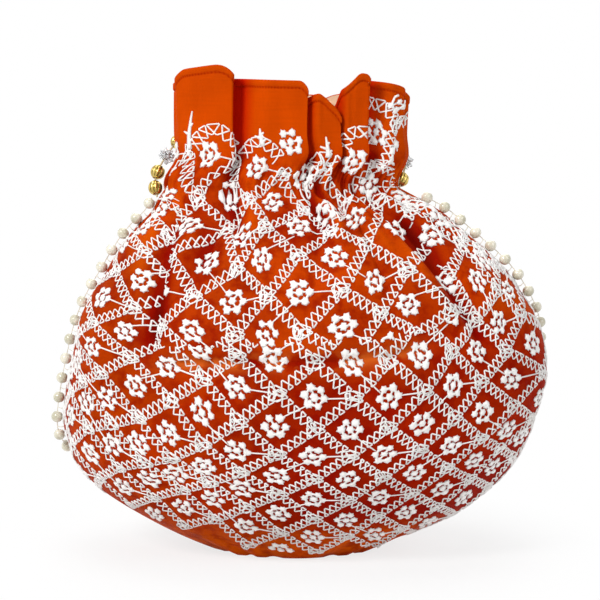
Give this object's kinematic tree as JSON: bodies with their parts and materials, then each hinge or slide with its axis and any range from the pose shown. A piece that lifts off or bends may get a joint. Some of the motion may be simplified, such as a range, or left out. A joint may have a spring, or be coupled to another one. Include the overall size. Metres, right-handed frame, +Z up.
{
  "type": "potli bag",
  "caption": "Gathered potli pouch of orange silk-like cloth with a white thread lattice, a pleated frill, pearls along its side seams and a beaded handle.",
  "frame": {"origin": "middle of the flat underside that the bag stands on", "axes": "+Z up through the mouth, -Y out of the front, +X to the right seen from the front"},
  "size_m": [0.2507, 0.1408, 0.2427],
  "materials": {
    "cloth": "satin",
    "embroidery": "satin",
    "lining": "matte",
    "drawstring": "matte",
    "pearl": "gloss",
    "handle_cord": "matte",
    "gold_bead": "polished",
    "crystal": "gloss"
  },
  "bodies": {
    "root": {"front_panel": "cloth", "back_panel": "cloth", "lining_front": "lining", "lining_back": "lining", "drawstring": "drawstring", "pearl_trim_left": "pearl", "pearl_trim_right": "pearl", "handle_cord": "handle_cord", "gold_bead_01": "gold_bead", "gold_bead_02": "gold_bead", "gold_bead_03": "gold_bead", "gold_bead_04": "gold_bead", "gold_bead_05": "gold_bead", "gold_bead_06": "gold_bead", "gold_bead_07": "gold_bead", "gold_bead_08": "gold_bead", "gold_bead_09": "gold_bead", "gold_bead_10": "gold_bead", "gold_bead_11": "gold_bead", "gold_bead_12": "gold_bead", "gold_bead_13": "gold_bead", "gold_bead_14": "gold_bead", "gold_bead_15": "gold_bead", "gold_bead_16": "gold_bead", "gold_bead_17": "gold_bead", "gold_bead_18": "gold_bead", "gold_bead_19": "gold_bead", "gold_bead_20": "gold_bead", "gold_bead_21": "gold_bead", "gold_bead_22": "gold_bead", "gold_bead_23": "gold_bead", "crystal_cluster_01": "crystal", "crystal_cluster_02": "crystal", "crystal_cluster_03": "crystal", "crystal_cluster_04": "crystal", "crystal_cluster_05": "crystal", "crystal_cluster_06": "crystal", "crystal_cluster_07": "crystal", "crystal_cluster_08": "crystal", "crystal_cluster_09": "crystal", "crystal_cluster_10": "crystal", "crystal_cluster_11": "crystal"}
  },
  "joints": []
}
